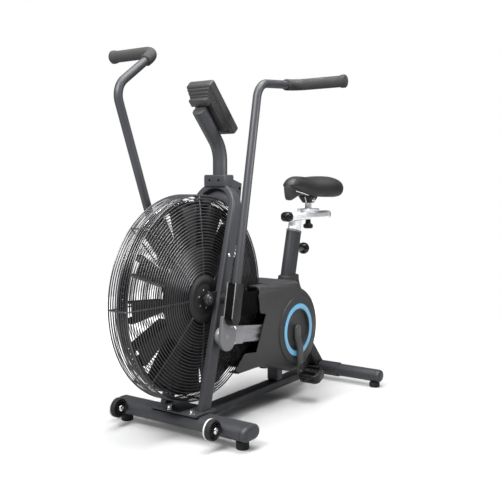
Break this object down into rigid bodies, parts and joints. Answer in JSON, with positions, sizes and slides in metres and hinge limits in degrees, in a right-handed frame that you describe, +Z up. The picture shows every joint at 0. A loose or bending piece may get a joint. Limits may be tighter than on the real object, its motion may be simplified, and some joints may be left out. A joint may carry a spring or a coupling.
{
  "type": "air bike",
  "caption": "Upright exercise bike with a caged air fan at the front, push-pull hand levers linked to pedal cranks, a console on a mast and a sliding, height-adjustable saddle.",
  "frame": {"origin": "on the floor, under the centre of the bounding box", "axes": "+X to the rider's left, +Y to the rear (fan at -Y), +Z up"},
  "size_m": [0.704, 1.29, 1.317],
  "materials": {
    "frame_paint": "satin powder coat",
    "guard_wire": "gloss black coated wire",
    "cover_plastic": "fine satin grain",
    "ring_plastic": "gloss",
    "black_plastic": "moulded",
    "cast_aluminium": "cast and grained",
    "bright_aluminium": "bright anodised",
    "steel": "zinc plated",
    "rubber": "moulded",
    "grip_foam": "closed-cell foam",
    "saddle_skin": "soft vinyl",
    "screen": "dark display window"
  },
  "bodies": {
    "frame": {"front_stabiliser": "frame_paint", "rear_stabiliser": "frame_paint", "base_plate": "frame_paint", "base_beam": "frame_paint", "fork_leg_left": "frame_paint", "fork_leg_right": "frame_paint", "crown_collar": "frame_paint", "console_mast": "frame_paint", "seat_tube": "frame_paint", "rear_stay": "frame_paint", "side_rail_left": "frame_paint", "side_rail_right": "frame_paint", "bottom_bracket": "frame_paint", "fan_guard_left": "guard_wire", "fan_guard_right": "guard_wire", "drive_cover_left": "cover_plastic", "drive_cover_right": "cover_plastic", "crank_cap_left": "cover_plastic", "crank_cap_right": "cover_plastic", "trim_ring_left": "ring_plastic", "trim_ring_right": "ring_plastic", "console_body": "black_plastic", "seat_boot": "black_plastic", "belt_guard": "black_plastic", "fan_axle": "steel", "lever_shaft_left": "steel", "lever_shaft_right": "steel", "foot_front_left": "rubber", "foot_front_right": "rubber", "foot_rear_left": "rubber", "foot_rear_right": "rubber", "drive_belt": "rubber", "console_screen": "screen"},
    "crank": {"crank_axle": "steel", "drive_pulley": "cast_aluminium", "crank_arm_left": "frame_paint", "crank_arm_right": "frame_paint"},
    "pedal_left": {"pedal_left": "black_plastic"},
    "pedal_right": {"pedal_right": "black_plastic"},
    "fan": {"fan_rotor": "black_plastic", "fan_pulley": "steel"},
    "lever_left": {"lever_left": "frame_paint", "rocker_arm_left": "cast_aluminium", "grip_left": "grip_foam"},
    "lever_right": {"lever_right": "frame_paint", "rocker_arm_right": "cast_aluminium", "grip_right": "grip_foam"},
    "rod_left": {"connecting_rod_left": "cast_aluminium"},
    "rod_right": {"connecting_rod_right": "cast_aluminium"},
    "seat_post": {"seat_post": "bright_aluminium", "slider_rail": "bright_aluminium"},
    "saddle": {"saddle_stem": "bright_aluminium", "saddle": "saddle_skin"},
    "slider_knob": {"slider_knob": "black_plastic"},
    "pin_knob": {"pin_knob": "black_plastic"},
    "button_1": {"console_button_1": "rubber"},
    "button_2": {"console_button_2": "rubber"},
    "button_3": {"console_button_3": "rubber"},
    "wheel_left": {"transport_wheel_left": "rubber"},
    "wheel_right": {"transport_wheel_right": "rubber"}
  },
  "joints": [
    {"name": "crank_spin", "type": "hinge", "parent": "frame", "child": "crank", "pos_m": [0, 0.228, 0.276], "axis": [1, 0, 0], "continuous": true},
    {"name": "left_pedal_spin", "type": "hinge", "parent": "crank", "child": "pedal_left", "pos_m": [0.17, 0.228, 0.106], "axis": [1, 0, 0], "continuous": true},
    {"name": "right_pedal_spin", "type": "hinge", "parent": "crank", "child": "pedal_right", "pos_m": [-0.17, 0.228, 0.446], "axis": [1, 0, 0], "continuous": true},
    {"name": "fan_spin", "type": "hinge", "parent": "frame", "child": "fan", "pos_m": [0, -0.294, 0.46], "axis": [1, 0, 0], "continuous": true},
    {"name": "left_lever_swing", "type": "hinge", "parent": "frame", "child": "lever_left", "pos_m": [0.143, -0.237, 0.458], "axis": [1, 0, 0], "range_deg": [0, 31.1]},
    {"name": "right_lever_swing", "type": "hinge", "parent": "frame", "child": "lever_right", "pos_m": [-0.143, -0.237, 0.458], "axis": [1, 0, 0], "range_deg": [-31.1, 0]},
    {"name": "left_rod_hinge", "type": "hinge", "parent": "lever_left", "child": "rod_left", "pos_m": [0, -0.2608, 0.33325], "axis": [1, 0, 0], "range_deg": [-31.1, 0]},
    {"name": "right_rod_hinge", "type": "hinge", "parent": "lever_right", "child": "rod_right", "pos_m": [0, -0.19294, 0.33889], "axis": [1, 0, 0], "range_deg": [0, 31.1]},
    {"name": "seat_height", "type": "slide", "parent": "frame", "child": "seat_post", "axis": [0, 0.2402, 0.9707], "range_m": [-0.02, 0.15]},
    {"name": "saddle_reach", "type": "slide", "parent": "seat_post", "child": "saddle", "axis": [0, 1, 0], "range_m": [-0.045, 0.11]},
    {"name": "slider_knob_turn", "type": "hinge", "parent": "saddle", "child": "slider_knob", "pos_m": [0, 0.481, 0.675], "axis": [0, 0, 1], "range_deg": [-180, 180]},
    {"name": "pin_pull", "type": "slide", "parent": "frame", "child": "pin_knob", "axis": [0, 0.9707, -0.2402], "range_m": [0, 0.012], "stiffness_N_per_m": 900},
    {"name": "left_wheel_roll", "type": "hinge", "parent": "frame", "child": "wheel_left", "pos_m": [0.195, -0.43, 0.072], "axis": [1, 0, 0], "continuous": true},
    {"name": "right_wheel_roll", "type": "hinge", "parent": "frame", "child": "wheel_right", "pos_m": [-0.2175, -0.43, 0.072], "axis": [1, 0, 0], "continuous": true},
    {"name": "button_1_press", "type": "slide", "parent": "frame", "child": "button_1", "axis": [0, -0.7408, -0.6717], "range_m": [0, 0.0015], "stiffness_N_per_m": 500},
    {"name": "button_2_press", "type": "slide", "parent": "frame", "child": "button_2", "axis": [0, -0.7408, -0.6717], "range_m": [0, 0.0015], "stiffness_N_per_m": 500},
    {"name": "button_3_press", "type": "slide", "parent": "frame", "child": "button_3", "axis": [0, -0.7408, -0.6717], "range_m": [0, 0.0015], "stiffness_N_per_m": 500}
  ],
  "couplings": [
    {"joint": "fan_spin", "follows": "crank_spin", "ratio": 4.3077},
    {"joint": "right_lever_swing", "follows": "left_lever_swing", "ratio": -1},
    {"joint": "left_rod_hinge", "follows": "left_lever_swing", "ratio": -1},
    {"joint": "right_rod_hinge", "follows": "left_lever_swing", "ratio": 1}
  ]
}
